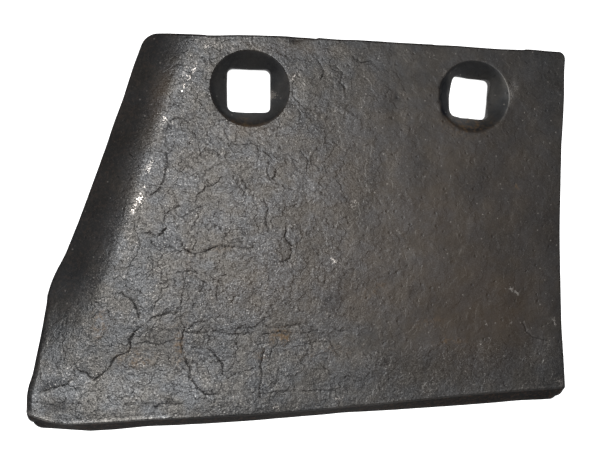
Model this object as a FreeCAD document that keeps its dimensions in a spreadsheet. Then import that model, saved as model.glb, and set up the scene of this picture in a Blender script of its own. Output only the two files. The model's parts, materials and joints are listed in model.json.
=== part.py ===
"""Fertilizer coulter share: one hot formed steel plate with a bent-back leading lip.

The share is drawn in its own plate frame. X runs back along the top edge, Y runs up, and Z points
out of the front face. The frame starts at the centre of the front bolt hole, on the flat back
face, which is the seat against the coulter shank. The lip is a strip of sections set square to the
bend line. The bend is full from near the top edge down to the kink, and fades out towards the tip.
The front face has a small round along its whole outline, and the bottom edge is bevelled.

The finished share is then laid down as it comes to rest on its back: X towards the rear edge,
Y towards the top edge, Z up, with the origin under the middle of its bounding box.
"""
import FreeCAD, Part
import math
import os
from types import SimpleNamespace

import Sketcher
from FreeCAD import Placement, Rotation, Vector

NODE = "coulter_share"

DRIVING_SIZES = {
    # Plate and outline, in millimetres and degrees.
    "plate_thickness": 6.0,
    "share_height": 113.5,
    "top_margin": 15.5,
    "rear_margin": 31.3,
    "rear_hollow": 1.7,
    "tip_reach": 62.3,
    "toe_lean": 9.2,
    "toe_rise": 1.2,
    "toe_rise_length": 20.0,
    # Corner radii seen from the front.
    "top_rear_corner": 2.5,
    "bottom_rear_corner": 2.8,
    "tip_corner": 5.0,
    "lip_corner": 3.2,
    # Round along the front face's outline.
    "front_edge_round": 0.5,
    # Square bolt holes, each with a conical seat for the bolt head.
    "hole_spacing": 70.0,
    "square_width": 13.0,
    "square_corner": 1.2,
    "rear_square_turn": 5.0,
    "head_diameter": 23.0,
    "head_angle": 90.0,
    # Lip along the leading edge. Its strip starts behind the tip, and its bend turns the flank back.
    "strip_behind_tip": 53.4,
    "apron": 1.2,
    "bend_lean": 17.5,
    "edge_lean": 19.5,
    "bend_angle": 30.0,
    "bend_radius": 18.0,
    "flank_width": 2.5,
    # The bend is wider at the top edge, and fades out above the tip.
    "top_flare": 7.0,
    "flare_length": 24.0,
    "fade_length": 52.0,
    "fade_end_height": 3.0,
    "tip_angle": 1.5,
    # Bevel along the bottom edge.
    "bevel_height": 4.2,
    "bevel_land": 1.0,
}

# Stock that stands past the outline before it is trimmed.
TRIM_STOCK = 4.0
STRIP_STOCK = 12.0
# Equal steps between the sections of the two eased stretches of the bend.
FLARE_STEPS = 3
FADE_STEPS = 5
# How far the cutter of a bolt head's seat stands out of the face.
SEAT_STOCK = 1.0
# How far the bevel's cutter runs past both ends of the bevel, as a share of the bevel.
BEVEL_STOCK = 0.3
# How near an edge lies to the place where it is looked for.
NEAR = 0.05
# The rise of a face's unit normal above which it counts as front, and under which it is a wall.
FRONT_RISE = 0.6
WALL_RISE = 0.1
# The triangle far above the share that the search for its resting points starts from.
START_REACH = 1000.0
START_HEIGHT = 10000.0
# How finely the share is meshed for that search, and how far under a plane a point counts.
REST_MESH = 0.02
REST_SLACK = 1e-6


class Term:
    """A number that also knows its formula in the sizes of the sheet."""

    def __init__(self, number, formula):
        self.number = number
        self.formula = formula

    @staticmethod
    def of(value):
        """Wrap a bare number."""
        return value if isinstance(value, Term) else Term(float(value), f"({float(value)})")

    def _join(self, other, sign, number):
        """Return the result of one operation, with its formula."""
        return Term(number, f"({self.formula} {sign} {Term.of(other).formula})")

    def __add__(self, other):
        return self._join(other, "+", self.number + Term.of(other).number)

    def __sub__(self, other):
        return self._join(other, "-", self.number - Term.of(other).number)

    def __mul__(self, other):
        return self._join(other, "*", self.number * Term.of(other).number)

    def __truediv__(self, other):
        return self._join(other, "/", self.number / Term.of(other).number)

    def __neg__(self):
        return Term(-self.number, f"(0 - {self.formula})")

    __radd__ = __add__


def sine(angle):
    """Return the sine of a term in degrees."""
    return Term(math.sin(math.radians(angle.number)), f"sin({angle.formula})")


def cosine(angle):
    """Return the cosine of a term in degrees."""
    return Term(math.cos(math.radians(angle.number)), f"cos({angle.formula})")


def tangent(angle):
    """Return the tangent of a term in degrees."""
    return Term(math.tan(math.radians(angle.number)), f"tan({angle.formula})")


SIZE = SimpleNamespace(**{name: Term(value, f"Sizes.{name}") for name, value in DRIVING_SIZES.items()})

# Places that the driving sizes give.
TOP = SIZE.top_margin
BOTTOM = SIZE.top_margin - SIZE.share_height
REAR = SIZE.hole_spacing + SIZE.rear_margin
ROOT_REACH = SIZE.tip_reach - SIZE.strip_behind_tip
RADIANS = Term.of(math.pi / 180)
BEND_LENGTH = SIZE.bend_radius * SIZE.bend_angle * RADIANS
STRIP_BOTTOM = SIZE.share_height / cosine(SIZE.bend_lean)
STRIP_START = Term.of(-TRIM_STOCK)
STRIP_END = STRIP_BOTTOM + STRIP_STOCK
FADE_END = STRIP_BOTTOM - SIZE.fade_end_height
FADE_START = FADE_END - SIZE.fade_length


def make_sheet(doc):
    """Write every driving size to the sheet, as a plain number with an alias."""
    sheet = doc.addObject("Spreadsheet::Sheet", "Sizes")
    for row, (name, value) in enumerate(DRIVING_SIZES.items(), start=1):
        sheet.set(f"A{row}", name)
        sheet.set(f"B{row}", str(value))
        sheet.setAlias(f"B{row}", name)
    doc.recompute()


def add_sketch(body, name, role, across=0.0, up=0.0, out=0.0, turn_axis=None, turn=0.0):
    """Add a sketch on one of the body's origin planes, moved and turned within that plane's frame."""
    sketch = body.newObject("Sketcher::SketchObject", name)
    plane = next(item for item in body.Origin.OriginFeatures if item.Role == role)
    sketch.AttachmentSupport = [(plane, "")]
    sketch.MapMode = "FlatFace"
    offset = [Term.of(value) for value in (across, up, out)]
    turned = Rotation(turn_axis or Vector(0, 0, 1), Term.of(turn).number)
    sketch.AttachmentOffset = Placement(Vector(*[value.number for value in offset]), turned)
    for letter, value in zip("xyz", offset):
        sketch.setExpression(f"AttachmentOffset.Base.{letter}", value.formula)
    if turn_axis:
        sketch.setExpression("AttachmentOffset.Rotation.Angle", Term.of(turn).formula)
    return sketch


def add_loop(sketch, corners, arcs=None):
    """Draw a closed loop through corners given as pairs of terms.

    arcs gives, for the number of a side, the radius of the arc that takes the place of its line and
    1 or -1 for an arc that bulges to the left or to the right of that line.
    """
    arcs = arcs or {}
    first = sketch.GeometryCount
    corners = [(Term.of(across), Term.of(up)) for across, up in corners]
    points = [Vector(across.number, up.number, 0) for across, up in corners]
    starts = []
    for side, (start, end) in enumerate(zip(points, points[1:] + points[:1])):
        if side in arcs:
            radius, bulge = arcs[side]
            chord = end - start
            left = Vector(-chord.y, chord.x, 0).normalize()
            rise = radius.number - math.sqrt(radius.number**2 - (chord.Length / 2) ** 2)
            middle = (start + end) * 0.5 + left * rise * bulge
            sketch.addGeometry(Part.Arc(start, middle, end))
            # A sketch keeps its arcs counterclockwise, so an arc that bulges left runs backwards.
            starts.append(2 if bulge > 0 else 1)
        else:
            sketch.addGeometry(Part.LineSegment(start, end))
            starts.append(1)
    count = len(corners)
    for side in range(count):
        after = (side + 1) % count
        ends = (first + side, 3 - starts[side], first + after, starts[after])
        sketch.addConstraint(Sketcher.Constraint("Coincident", *ends))
    for side, (across, up) in enumerate(corners):
        for kind, value in (("DistanceX", across), ("DistanceY", up)):
            fixed = (kind, -1, 1, first + side, starts[side], value.number)
            number = sketch.addConstraint(Sketcher.Constraint(*fixed))
            sketch.setExpression(f"Constraints[{number}]", value.formula)
    for side, (radius, _) in arcs.items():
        number = sketch.addConstraint(Sketcher.Constraint("Radius", first + side, radius.number))
        sketch.setExpression(f"Constraints[{number}]", radius.formula)


def cut_through(body, name, sketch):
    """Cut a sketch's loops through the whole plate, both ways."""
    pocket = body.newObject("PartDesign::Pocket", name)
    pocket.Profile = sketch
    pocket.SideType = "Symmetric"
    pocket.Type = "ThroughAll"
    pocket.Refine = True
    return pocket


def strip_root(station):
    """Return where the lip's strip starts, at a distance down the bend line from the top edge."""
    across = -ROOT_REACH - station * sine(SIZE.bend_lean)
    up = TOP - station * cosine(SIZE.bend_lean)
    return across, up


def add_flat(body):
    """Pad the flat of the plate, from the root of the strip to past the rear edge."""
    sketch = add_sketch(body, "FlatStock", "XY_Plane")
    upper, lower = strip_root(STRIP_START), strip_root(STRIP_END)
    behind = REAR + TRIM_STOCK
    add_loop(sketch, [upper, (behind, upper[1]), (behind, lower[1]), lower])
    pad = body.newObject("PartDesign::Pad", "Flat")
    pad.Profile = sketch
    pad.setExpression("Length", SIZE.plate_thickness.formula)
    return pad


def add_bend_section(body, name, station, angle, flare):
    """Draw one section of the lip, square to the bend line.

    The section runs ahead from the root: a flat run, the bend, the flank and the leading end. flare
    is what is added to the bend's length on the front face, taken from the flat run.
    """
    root_across, root_up = strip_root(station)
    place = dict(across=root_across, out=-root_up, turn_axis=Vector(0, 1, 0), turn=-SIZE.bend_lean)
    sketch = add_sketch(body, name, "XZ_Plane", **place)
    thickness = SIZE.plate_thickness
    radius = (BEND_LENGTH + flare) / (angle * RADIANS)
    narrowing = (SIZE.top_flare - flare) * sine(SIZE.bend_angle) / (SIZE.bend_angle * RADIANS)
    run = SIZE.apron + narrowing
    taper = tangent(SIZE.edge_lean - SIZE.bend_lean) / cosine(SIZE.bend_angle)
    flank = SIZE.flank_width + station * taper
    inner = radius - thickness
    bend_end = -run - radius * sine(angle)
    inner_end = -run - inner * sine(angle)
    drop = radius * (Term.of(1) - cosine(angle))
    inner_drop = inner * (Term.of(1) - cosine(angle))
    out, down = flank * cosine(angle), flank * sine(angle)
    corners = [
        (0, thickness),
        (-run, thickness),
        (bend_end, thickness - drop),
        (bend_end - out, thickness - drop - down),
        (inner_end - out, -inner_drop - down),
        (inner_end, -inner_drop),
        (-run, 0),
        (0, 0),
    ]
    add_loop(sketch, corners, arcs={1: (radius, -1), 5: (inner, 1)})
    return sketch


def add_lip(body):
    """Loft the lip: a flare at the top, a straight stretch, a fade and a nearly flat run to the tip."""
    none = Term.of(0)
    flare_span = SIZE.flare_length - STRIP_START
    top = []
    for step in range(FLARE_STEPS + 1):
        left = (1 + math.cos(math.pi * step / FLARE_STEPS)) / 2
        station = STRIP_START + flare_span * (step / FLARE_STEPS)
        flare = SIZE.top_flare * left
        top.append(add_bend_section(body, f"FlareSection{step}", station, SIZE.bend_angle, flare))
    fade = []
    for step in range(FADE_STEPS + 1):
        gone = (1 - math.cos(math.pi * step / FADE_STEPS)) / 2
        station = FADE_START + SIZE.fade_length * (step / FADE_STEPS)
        angle = SIZE.bend_angle - (SIZE.bend_angle - SIZE.tip_angle) * gone
        fade.append(add_bend_section(body, f"FadeSection{step}", station, angle, none))
    last = add_bend_section(body, "LastSection", STRIP_END, SIZE.tip_angle, none)
    stretches = {"TopFlare": top, "Bend": [top[-1], fade[0]], "Fade": fade, "Toe": [fade[-1], last]}
    for name, sections in stretches.items():
        loft = body.newObject("PartDesign::AdditiveLoft", name)
        loft.Profile = sections[0]
        loft.Sections = sections[1:]
        loft.Refine = True


def tip_corner():
    """Return where the leading edge would meet the risen end of the bottom edge, unrounded."""
    return SIZE.toe_rise * tangent(SIZE.toe_lean) - SIZE.tip_reach, BOTTOM + SIZE.toe_rise


def trim_outline(body):
    """Trim the top, rear and bottom edges and the leading edge below the kink."""
    sketch = add_sketch(body, "OutlineTrim", "XY_Plane")
    slope = tangent(SIZE.toe_lean)
    chord = SIZE.share_height / 2
    hollow = chord * chord / (SIZE.rear_hollow * 2) + SIZE.rear_hollow / 2
    toe_top = (SIZE.share_height * slope - SIZE.tip_reach, TOP)
    toe_end = (SIZE.toe_rise_length - SIZE.tip_reach, BOTTOM)
    corners = [toe_end, (REAR, BOTTOM), (REAR, TOP), toe_top, tip_corner()]
    add_loop(sketch, corners, arcs={1: (hollow, 1)})
    spare = STRIP_STOCK * 2
    left, right = -SIZE.tip_reach - spare, REAR + spare
    low, high = BOTTOM - spare, TOP + spare
    add_loop(sketch, [(left, low), (right, low), (right, high), (left, high)])
    return cut_through(body, "Outline", sketch)


def round_edges(body, name, radius, chosen):
    """Round the edges of the body that a test picks, and require at least one."""
    base = body.Tip
    names = [f"Edge{number}" for number, edge in enumerate(base.Shape.Edges, start=1) if chosen(edge)]
    if not names:
        raise RuntimeError(f"no edge found for {name}")
    fillet = body.newObject("PartDesign::Fillet", name)
    fillet.Base = (base, names)
    fillet.setExpression("Radius", radius.formula)
    fillet.Document.recompute()


def stands_at(across, up):
    """Return a test for an edge that stands square to the plate at a place in its outline."""

    def test(edge):
        plan = [(point.Point.x - across, point.Point.y - up) for point in edge.Vertexes]
        return len(plan) == 2 and all(math.hypot(*offset) < NEAR for offset in plan)

    return test


def round_corners(body):
    """Round the four corners of the share as seen from the front."""
    bottom, rear, top = BOTTOM.number, REAR.number, TOP.number
    round_edges(body, "TopRearCorner", SIZE.top_rear_corner, stands_at(rear, top))
    round_edges(body, "BottomRearCorner", SIZE.bottom_rear_corner, stands_at(rear, bottom))
    round_edges(body, "TipCorner", SIZE.tip_corner, stands_at(*[place.number for place in tip_corner()]))
    crossing = [
        edge for edge in body.Tip.Shape.Edges
        if all(abs(point.Point.y - top) < NEAR for point in edge.Vertexes)
        and edge.BoundBox.ZLength > SIZE.plate_thickness.number / 2
    ]
    leading = min(crossing, key=lambda edge: edge.CenterOfMass.x)
    round_edges(body, "LipCorner", SIZE.lip_corner, leading.isSame)


def round_front_edges(body):
    """Round the edges where the front face meets the walls of the outline."""
    shape = body.Tip.Shape

    def on_front_rim(edge):
        middle = edge.valueAt((edge.FirstParameter + edge.LastParameter) / 2)
        faces = shape.ancestorsOfType(edge, Part.Face)
        rises = sorted(face.normalAt(*face.Surface.parameter(middle)).z for face in faces)
        return rises[-1] > FRONT_RISE and rises[0] < WALL_RISE

    round_edges(body, "FrontEdges", SIZE.front_edge_round, on_front_rim)


def cut_bolt_hole(body, name, across, turn):
    """Cut one square bolt hole with round corners, and sink the seat of the bolt head."""
    place = dict(across=across, turn_axis=Vector(0, 0, 1), turn=-turn)
    sketch = add_sketch(body, f"{name}Square", "XY_Plane", **place)
    half = SIZE.square_width / 2
    flat = half - SIZE.square_corner
    corners = [
        (-flat, -half), (flat, -half), (half, -flat), (half, flat),
        (flat, half), (-flat, half), (-half, flat), (-half, -flat),
    ]
    corner = (SIZE.square_corner, -1)
    add_loop(sketch, corners, arcs={1: corner, 3: corner, 5: corner, 7: corner})
    cut_through(body, f"{name}Hole", sketch)
    seat = add_sketch(body, f"{name}SeatProfile", "XZ_Plane", across=across)
    face = SIZE.plate_thickness
    half_angle = SIZE.head_angle / 2
    radius = SIZE.head_diameter / 2
    brim = radius + tangent(half_angle) * SEAT_STOCK
    tip = face - radius / tangent(half_angle)
    add_loop(seat, [(0, tip), (brim, face + SEAT_STOCK), (0, face + SEAT_STOCK)])
    groove = body.newObject("PartDesign::Groove", f"{name}Seat")
    groove.Profile = seat
    groove.ReferenceAxis = (seat, ["V_Axis"])
    groove.Angle = 360
    groove.Refine = True
    body.Document.recompute()


def bevel_bottom(body):
    """Bevel the bottom edge from the front face nearly down to the back."""
    sketch = add_sketch(body, "BevelProfile", "YZ_Plane")
    face = SIZE.plate_thickness
    rise, depth = SIZE.bevel_height, face - SIZE.bevel_land
    low = (BOTTOM - rise * BEVEL_STOCK, SIZE.bevel_land - depth * BEVEL_STOCK)
    high = (BOTTOM + rise * (1 + BEVEL_STOCK), face + depth * BEVEL_STOCK)
    add_loop(sketch, [low, high, (low[0], high[1])])
    cut_through(body, "BottomBevel", sketch)
    body.Document.recompute()


def make_share(doc):
    """Build the share in its plate frame."""
    body = doc.addObject("PartDesign::Body", NODE)
    body.Label = NODE
    add_flat(body)
    add_lip(body)
    trim_outline(body)
    doc.recompute()
    round_corners(body)
    round_front_edges(body)
    bevel_bottom(body)
    cut_bolt_hole(body, "Front", Term.of(0), Term.of(0))
    cut_bolt_hole(body, "Rear", SIZE.hole_spacing, SIZE.rear_square_turn)
    return body


def resting_facet(points, centre):
    """Return the three points that the share rests on, under its centre of mass.

    It starts from a wide triangle high above everything. As long as a point lies under the
    triangle's plane, the lowest one takes the place of a corner, and of the three new triangles the
    one that still has the centre of mass inside is kept.
    """
    corners = [
        centre + Vector(START_REACH * math.cos(turn), START_REACH * math.sin(turn), START_HEIGHT)
        for turn in (math.radians(90), math.radians(210), math.radians(330))
    ]

    def left_of(start, end):
        along = end - start
        return along.x * (centre.y - start.y) - along.y * (centre.x - start.x) >= 0

    def holds_centre(triangle):
        return all(left_of(*side) for side in zip(triangle, triangle[1:] + triangle[:1]))

    while True:
        normal = facet_normal(corners)
        lowest = min(points, key=lambda point: (point - corners[0]).dot(normal))
        if (lowest - corners[0]).dot(normal) > -REST_SLACK:
            return corners
        trials = [corners[:number] + [lowest] + corners[number + 1:] for number in range(3)]
        corners = next(trial for trial in trials if holds_centre(trial))


def facet_normal(corners):
    """Return the upward normal of a triangle given counterclockwise."""
    return (corners[1] - corners[0]).cross(corners[2] - corners[0]).normalize()


def lay_down(body):
    """Turn the share onto the three points it rests on, with the origin under its middle."""
    shape = body.Shape
    points = shape.tessellate(REST_MESH)[0]
    corners = resting_facet(points, shape.CenterOfGravity)
    normal = facet_normal(corners)
    turn = Rotation(normal, Vector(0, 0, 1))
    body.Placement = Placement(Vector(0, 0, 0), turn)
    box = body.Shape.optimalBoundingBox(False, False)
    middle = Vector((box.XMin + box.XMax) / 2, (box.YMin + box.YMax) / 2, box.ZMin)
    body.Placement = Placement(-middle, turn)
    body.Document.recompute()
    print("rests on", [tuple(round(c, 2) for c in corner) for corner in corners])
    print("tilt", round(math.degrees(normal.getAngle(Vector(0, 0, 1))), 3))


def check_and_export(doc, body):
    """Stop on any failed object or bad shape, then write the part's file."""
    for item in doc.Objects:
        if "Invalid" in item.State or "Error" in item.State:
            raise RuntimeError(f"{item.Name}: {item.State}")
    shape = body.Shape
    if shape.isNull() or not shape.isValid() or len(shape.Solids) != 1:
        raise RuntimeError(f"{body.Label}: not one valid solid")
    os.makedirs("parts", exist_ok=True)
    shape.exportStep(f"parts/{body.Label}.step")
    box = shape.optimalBoundingBox(False, False)
    print(f"{body.Label}: {box.XLength:.2f} x {box.YLength:.2f} x {box.ZLength:.2f} mm, "
          f"{shape.Volume / 1000:.2f} cm3, {len(shape.Faces)} faces")


document = FreeCAD.newDocument("CoulterShare")
make_sheet(document)
share = make_share(document)
lay_down(share)
check_and_export(document, share)
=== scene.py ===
"""Fertilizer coulter share, dressed: a hot formed steel plate with mill scale, lying on a pale floor.

The share is made in its own plate frame, in millimetres: X runs back along the top edge, Y runs up,
Z points out of the front face, and the origin is the centre of the front bolt hole on the back face.
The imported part's two bolt hole mounts give the step from that frame to the row frame.
"""
import json
import logging
import math
from dataclasses import dataclass, field
from enum import Enum

import bmesh
import bpy
from mathutils import Matrix, Vector, kdtree, noise

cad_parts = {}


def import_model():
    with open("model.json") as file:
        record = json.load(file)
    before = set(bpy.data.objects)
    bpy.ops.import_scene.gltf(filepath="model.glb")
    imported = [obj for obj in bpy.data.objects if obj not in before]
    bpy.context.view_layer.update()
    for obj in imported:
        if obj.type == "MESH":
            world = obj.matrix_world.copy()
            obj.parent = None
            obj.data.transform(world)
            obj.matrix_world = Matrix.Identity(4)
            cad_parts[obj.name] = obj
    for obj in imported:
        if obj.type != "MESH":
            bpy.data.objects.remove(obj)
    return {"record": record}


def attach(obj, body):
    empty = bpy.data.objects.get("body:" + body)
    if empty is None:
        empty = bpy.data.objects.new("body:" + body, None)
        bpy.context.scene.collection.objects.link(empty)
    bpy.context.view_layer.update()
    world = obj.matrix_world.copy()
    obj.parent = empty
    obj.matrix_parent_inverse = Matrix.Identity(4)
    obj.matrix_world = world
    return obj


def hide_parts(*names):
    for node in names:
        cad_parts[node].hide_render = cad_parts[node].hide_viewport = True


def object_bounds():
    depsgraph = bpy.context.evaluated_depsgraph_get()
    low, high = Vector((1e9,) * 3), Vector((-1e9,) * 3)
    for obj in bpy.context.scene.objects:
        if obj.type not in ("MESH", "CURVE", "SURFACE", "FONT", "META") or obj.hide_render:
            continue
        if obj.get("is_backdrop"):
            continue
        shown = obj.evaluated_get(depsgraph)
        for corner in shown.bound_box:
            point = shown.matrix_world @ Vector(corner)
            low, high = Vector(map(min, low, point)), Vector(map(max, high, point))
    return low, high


LOG = logging.getLogger("coulter_share")

NODE = "coulter_share"
BODY = "root"
MM = 0.001
FRAME_WIDTH = 600
FRAME_HEIGHT = 454
TINY = 1e-5

Socket = bpy.types.NodeSocket


def clamp(value: float, low: float = 0.0, high: float = 1.0) -> float:
    """Return the value held between low and high."""
    return max(low, min(high, value))


def ease(value: float) -> float:
    """Return a cosine step from 0 to 1 as the value goes from 0 to 1."""
    return (1.0 - math.cos(math.pi * clamp(value))) / 2.0


def blend(start: float, end: float, share: float) -> float:
    """Return the number that lies a share of the way from start to end."""
    return start + (end - start) * share


def srgb(code: str) -> tuple[float, float, float, float]:
    """Turn an sRGB hex colour into the linear colour that a shader takes.

    Args:
        code: Six hex digits.

    Returns:
        Linear red, green, blue and an alpha of 1.
    """
    parts = [int(code[start:start + 2], 16) / 255 for start in (0, 2, 4)]
    linear = [part / 12.92 if part <= 0.04045 else ((part + 0.055) / 1.055) ** 2.4 for part in parts]
    return (*linear, 1.0)


@dataclass
class PlatePlace:
    """Where the plate frame lies in the row frame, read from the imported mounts."""

    mounts: list[dict]
    front: str = "front_bolt_hole"
    rear: str = "rear_bolt_hole"

    def matrix(self) -> Matrix:
        """Return the transform from plate millimetres to row metres."""
        by_name = {mount["name"]: mount for mount in self.mounts}
        origin = Vector(by_name[self.front]["pos_m"])
        across = (Vector(by_name[self.rear]["pos_m"]) - origin).normalized()
        out = Vector(by_name[self.front]["axis"]).normalized()
        up = out.cross(across).normalized()
        across = up.cross(out)
        turn = Matrix((across, up, out)).transposed().to_4x4()
        return Matrix.Translation(origin) @ turn @ Matrix.Scale(MM, 4)


@dataclass
class Viewpoint:
    """The photograph's camera, in plate millimetres, found from the outline and both bolt holes.

    The photograph was cropped, so its optical axis goes through a pixel that isn't the middle one.
    """

    stand: Vector = field(default_factory=lambda: Vector((-18.5, -30.9, 212.5)))
    aim: Vector = field(default_factory=lambda: Vector((28.6, -31.9, 6.0)))
    roll_deg: float = 0.03
    focal_px: float = 706.1
    axis_px: tuple[float, float] = (346.2, 198.3)
    sensor_mm: float = 36.0

    def axes(self) -> tuple[Vector, Vector, Vector]:
        """Return the camera's right, up and backward directions in the plate frame."""
        back = (self.stand - self.aim).normalized()
        right = Vector((0, 1, 0)).cross(back).normalized()
        up = back.cross(right)
        turn = Matrix.Rotation(math.radians(self.roll_deg), 3, back)
        return turn @ right, turn @ up, back

    def on_plane(self, pixel: tuple[float, float], height: float) -> Vector:
        """Return the point of a plane over the back face that shows at a pixel of the photograph.

        Args:
            pixel: Column and row in the 600 x 454 photograph.
            height: Height of the plane over the back face, in millimetres.

        Returns:
            The point in plate millimetres.
        """
        right, up, back = self.axes()
        across = (pixel[0] + 0.5 - self.axis_px[0]) / self.focal_px
        down = (pixel[1] + 0.5 - self.axis_px[1]) / self.focal_px
        ray = right * across - up * down - back
        return self.stand + ray * ((height - self.stand.z) / ray.z)


@dataclass
class BentLip:
    """The leading lip: a strip ahead of a leaning root line, rolled back and fading towards the tip."""

    top: float
    thickness: float
    root_reach: float = 8.9
    lean_deg: float = 17.5
    edge_lean_deg: float = 19.5
    apron: float = 3.1
    bend_length: float = 10.6
    angle_deg: float = 26.0
    top_angle_deg: float = 26.8
    first_length: float = 0.34
    first_turn: float = 0.6
    flank: float = 2.75
    top_flare: float = 3.5
    top_turn: float = 0.42
    flare_start: float = -4.0
    flare_end: float = 24.0
    fade_start: float = 67.5
    fade_end: float = 118.5
    tip_angle_deg: float = 1.5

    def __post_init__(self) -> None:
        """Work out the directions that every point needs."""
        lean = math.radians(self.lean_deg)
        self.sin_lean, self.cos_lean = math.sin(lean), math.cos(lean)
        growth = math.tan(math.radians(self.edge_lean_deg - self.lean_deg))
        self.flank_growth = growth / math.cos(math.radians(self.angle_deg))

    def root_across(self, up: float) -> float:
        """Return where the root line crosses a height."""
        return -self.root_reach - (self.top - up) * self.sin_lean / self.cos_lean

    def section(self, station: float) -> tuple[float, list[tuple[float, float]], float]:
        """Return the section at a distance down the root line.

        The bend turns quickly at its ridge and slowly after it, so it is two arcs.

        Args:
            station: Distance down the root line from the top edge, in millimetres.

        Returns:
            The flat run, each arc's radius on the front face and its angle, and the whole length
            ahead of the root on the front face.
        """
        flared = 1.0 - ease((station - self.flare_start) / (self.flare_end - self.flare_start))
        faded = ease((station - self.fade_start) / (self.fade_end - self.fade_start))
        full = blend(self.angle_deg, self.top_angle_deg, flared)
        angle = math.radians(blend(full, self.tip_angle_deg, faded))
        length = self.bend_length + self.top_flare * flared
        run = self.apron + self.top_flare * (1 - flared)
        turn = blend(self.first_turn, self.top_turn, flared)
        shares = ((self.first_length, turn), (1 - self.first_length, 1 - turn))
        arcs = [(length * long / (angle * part), angle * part) for long, part in shares]
        return run, arcs, run + length + self.flank + station * self.flank_growth

    def reach(self, station: float, ahead: float, depth: float) -> tuple[float, float]:
        """Return how far a developed point ends up ahead of the root, and its height.

        Args:
            station: Distance down the root line.
            ahead: Distance ahead of the root, measured along the front face.
            depth: Distance under the front face.

        Returns:
            The distance ahead of the root in the plate's plane, and the height over the back plane.
        """
        run, arcs, _ = self.section(station)
        along, height, tilt = min(ahead, run), self.thickness - depth, 0.0
        left = max(ahead - run, 0.0)
        for radius, angle in arcs:
            turned = min(left / radius, angle)
            along += (radius - depth) * (math.sin(tilt + turned) - math.sin(tilt))
            height -= (radius - depth) * (math.cos(tilt) - math.cos(tilt + turned))
            tilt += turned
            left -= radius * turned
        return along + left * math.cos(tilt), height - left * math.sin(tilt)

    def ahead_at(self, station: float, reach: float, depth: float) -> float:
        """Return the developed distance ahead of the root of a point at a reach in the plate's plane."""
        run, arcs, _ = self.section(station)
        if reach <= run:
            return reach
        ahead, along, tilt = run, run, 0.0
        for radius, angle in arcs:
            sine = (reach - along) / (radius - depth) + math.sin(tilt)
            if sine <= math.sin(tilt + angle):
                return ahead + radius * (math.asin(sine) - tilt)
            along += (radius - depth) * (math.sin(tilt + angle) - math.sin(tilt))
            ahead += radius * angle
            tilt += angle
        return ahead + (reach - along) / math.cos(tilt)

    def point(self, up: float, ahead: float, depth: float) -> Vector:
        """Return the point at a height of the plate, a distance ahead of the root and a depth."""
        station = (self.top - up) / self.cos_lean
        along = height = 0.0
        for _ in range(4):
            along, height = self.reach(station, ahead, depth)
            station = (self.top - up + along * self.sin_lean) / self.cos_lean
        across = -self.root_reach - station * self.sin_lean - along * self.cos_lean
        return Vector((across, up, height))


@dataclass
class BoltHole:
    """A square bolt hole with a conical seat for the head of a plow bolt."""

    name: str
    across: float
    turn_deg: float = 0.0
    half: float = 6.4
    corner: float = 1.8
    head: float = 11.35
    head_squash: float = 0.6
    head_shift: float = 0.34
    rim: float = 0.3
    soft_rim: float = 0.5
    soft_towards_deg: float = -90.0
    uneven: float = 0.06

    def square_reach(self, bearing: float) -> float:
        """Return how far the rounded square reaches from the centre at a bearing in radians."""
        turned = bearing + math.radians(self.turn_deg)
        fold = abs((turned + math.pi / 4) % (math.pi / 2) - math.pi / 4)
        flat = self.half / math.cos(fold)
        if flat * math.sin(fold) <= self.half - self.corner:
            return flat
        middle = (self.half - self.corner) * math.sqrt(2)
        swing = math.pi / 4 - fold
        offset = middle * math.sin(swing)
        return middle * math.cos(swing) + math.sqrt(self.corner**2 - offset**2)

    def rim_width(self, bearing: float) -> float:
        """Return how broadly the rim is rounded at a bearing."""
        turned = math.cos(bearing - math.radians(self.soft_towards_deg))
        return self.rim + self.soft_rim * clamp(turned) ** 2

    def profile(self, bearing: float, thickness: float) -> list[tuple[float, float]]:
        """Return the wall's profile from the front face to the back face.

        Args:
            bearing: Direction from the hole's centre, in radians.
            thickness: The plate's thickness.

        Returns:
            Pairs of distance from the centre and height over the back face.
        """
        seed = Vector((math.cos(bearing) * 2.2, math.sin(bearing) * 2.2, self.across))
        square = self.square_reach(bearing) + self.uneven * noise.noise(seed)
        rim = self.rim_width(bearing)
        head = self.head + self.head_shift * math.sin(bearing) - self.head_squash * math.sin(bearing) ** 2
        arris = thickness - (self.head - square)
        worn, back, back_middle = 0.12, 0.35, 0.1
        points = [
            (head + rim, thickness),
            (head + rim * 0.35, thickness - rim * 0.12),
            (head - rim * 0.3, thickness - rim * 0.5),
        ]
        for share in (0.3, 0.55, 0.8):
            points.append((blend(head, square, share), blend(thickness, arris, share)))
        points.append((square + worn, arris + worn))
        points.append((square, arris - worn))
        for share in (0.6, 0.3):
            points.append((square, arris * share))
        return points + [(square, back), (square + back_middle, back_middle), (square + back, 0.0)]


class Side(Enum):
    """A side of the plate's outline."""

    LEADING = "leading"
    REAR = "rear"
    TOP = "top"
    BOTTOM = "bottom"


@dataclass
class Swell:
    """A stretch where an edge runs proud of its line, or inside it with a negative height."""

    side: Side
    centre: float
    half: float
    proud: float

    def at(self, place: float) -> float:
        """Return how far the edge is pushed out at a place along it, in millimetres."""
        return self.proud * (1 - ease(abs(place - self.centre) / self.half))


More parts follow.
